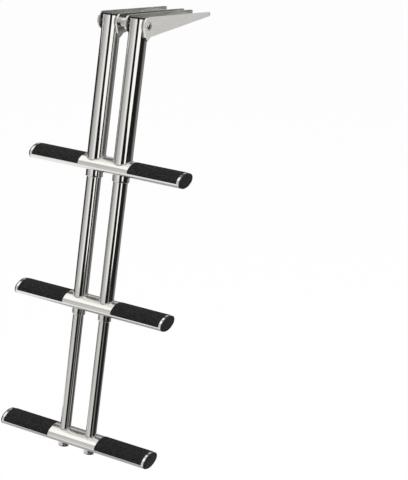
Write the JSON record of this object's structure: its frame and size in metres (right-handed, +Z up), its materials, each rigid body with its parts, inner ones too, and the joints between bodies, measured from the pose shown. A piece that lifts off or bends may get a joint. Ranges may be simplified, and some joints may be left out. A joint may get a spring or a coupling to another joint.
{
  "type": "telescopic dive ladder",
  "caption": "Telescopic boat dive ladder with sliding tubes, oval treads with grip pads, and hinged deck arms.",
  "frame": {"origin": "centre of the deck plate's underside, where the bracket lies on the boat's platform", "axes": "+Z up, +Y towards the boat, +X along the treads"},
  "size_m": [0.302, 0.3821, 0.7436],
  "materials": {
    "polished_steel": "polished",
    "satin_steel": "satin",
    "pad_rubber": "matte",
    "black_plastic": "matte"
  },
  "bodies": {
    "bracket": {"deck_plate": "satin_steel", "centre_spacer": "polished_steel", "left_arm_left_cheek": "satin_steel", "left_arm_right_cheek": "satin_steel", "left_arm_web": "satin_steel", "left_arm_spacers": "satin_steel", "left_stop_bar": "polished_steel", "left_pivot_bolt": "polished_steel", "right_arm_left_cheek": "satin_steel", "right_arm_right_cheek": "satin_steel", "right_arm_web": "satin_steel", "right_arm_spacers": "satin_steel", "right_stop_bar": "polished_steel", "right_pivot_bolt": "polished_steel"},
    "upper_section": {"upper_tread": "polished_steel", "upper_left_tube": "polished_steel", "upper_left_pad": "pad_rubber", "upper_left_end_cap": "black_plastic", "upper_left_collar": "polished_steel", "upper_left_plug": "black_plastic", "upper_right_tube": "polished_steel", "upper_right_pad": "pad_rubber", "upper_right_end_cap": "black_plastic", "upper_right_collar": "polished_steel", "upper_right_plug": "black_plastic"},
    "middle_section": {"middle_tread": "polished_steel", "middle_left_tube": "polished_steel", "middle_left_pad": "pad_rubber", "middle_left_end_cap": "black_plastic", "middle_left_collar": "polished_steel", "middle_right_tube": "polished_steel", "middle_right_pad": "pad_rubber", "middle_right_end_cap": "black_plastic", "middle_right_collar": "polished_steel"},
    "lower_section": {"lower_tread": "polished_steel", "lower_left_tube": "polished_steel", "lower_left_pad": "pad_rubber", "lower_left_end_cap": "black_plastic", "lower_left_foot": "polished_steel", "lower_left_foot_plug": "black_plastic", "lower_right_tube": "polished_steel", "lower_right_pad": "pad_rubber", "lower_right_end_cap": "black_plastic", "lower_right_foot": "polished_steel", "lower_right_foot_plug": "black_plastic"}
  },
  "joints": [
    {"name": "ladder_swing", "type": "hinge", "parent": "bracket", "child": "upper_section", "pos_m": [0, -0.098, 0.0188], "axis": [-1, 0, 0], "range_deg": [0, 200]},
    {"name": "middle_slide", "type": "slide", "parent": "upper_section", "child": "middle_section", "axis": [0, 0.2147, 0.9767], "range_m": [0, 0.19]},
    {"name": "lower_slide", "type": "slide", "parent": "middle_section", "child": "lower_section", "axis": [0, 0.2147, 0.9767], "range_m": [0, 0.19]}
  ]
}
